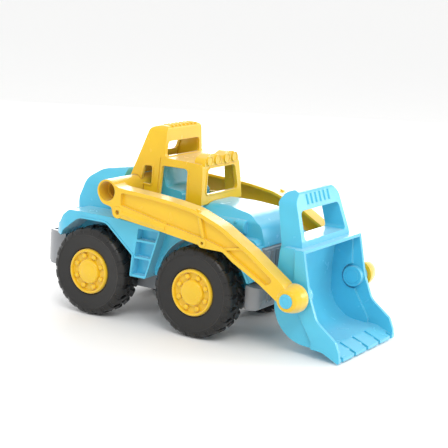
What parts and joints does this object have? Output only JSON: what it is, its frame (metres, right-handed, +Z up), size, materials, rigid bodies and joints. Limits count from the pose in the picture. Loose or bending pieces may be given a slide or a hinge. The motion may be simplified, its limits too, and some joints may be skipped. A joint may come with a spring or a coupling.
{
  "type": "toy wheel loader",
  "caption": "Moulded plastic toy wheel loader with a lifting arm pair, a tilting scoop bucket with carry arch, a carry-handle cab and chunky tyres on rolling axles.",
  "frame": {"origin": "on the ground, under the middle of the overall length and width", "axes": "+X forward towards the bucket, +Y to the truck's left, +Z up"},
  "size_m": [0.3258, 0.153, 0.1782],
  "materials": {
    "blue_plastic": "satin moulded polyethylene",
    "yellow_plastic": "satin moulded polyethylene",
    "grey_plastic": "satin moulded polyethylene",
    "tyre": "matte soft black plastic",
    "steel": "bright zinc plated"
  },
  "bodies": {
    "root": {"body_shell": "blue_plastic", "chassis": "grey_plastic", "front_grille": "grey_plastic", "chassis_screws": "steel", "cab": "yellow_plastic"},
    "loader_arms": {"arm_left": "yellow_plastic", "arm_right": "yellow_plastic", "cross_tube": "yellow_plastic"},
    "bucket": {"bucket": "blue_plastic", "bucket_pin_left": "blue_plastic", "bucket_pin_right": "blue_plastic"},
    "front_wheels": {"front_axle": "steel", "tyre_front_left": "tyre", "tyre_front_right": "tyre", "hub_front_left": "yellow_plastic", "hub_front_right": "yellow_plastic"},
    "rear_wheels": {"rear_axle": "steel", "tyre_rear_left": "tyre", "tyre_rear_right": "tyre", "hub_rear_left": "yellow_plastic", "hub_rear_right": "yellow_plastic"}
  },
  "joints": [
    {"name": "arm_lift", "type": "hinge", "parent": "root", "child": "loader_arms", "pos_m": [-0.0682, 0, 0.1196], "axis": [0, -1, 0], "range_deg": [0, 62]},
    {"name": "bucket_tilt", "type": "hinge", "parent": "loader_arms", "child": "bucket", "pos_m": [0.1214, 0, 0.0523], "axis": [0, -1, 0], "range_deg": [-70, 12]},
    {"name": "front_wheels_roll", "type": "hinge", "parent": "root", "child": "front_wheels", "pos_m": [0.0235, 0, 0.041], "axis": [0, 1, 0], "continuous": true},
    {"name": "rear_wheels_roll", "type": "hinge", "parent": "root", "child": "rear_wheels", "pos_m": [-0.0907, 0, 0.041], "axis": [0, 1, 0], "continuous": true}
  ]
}
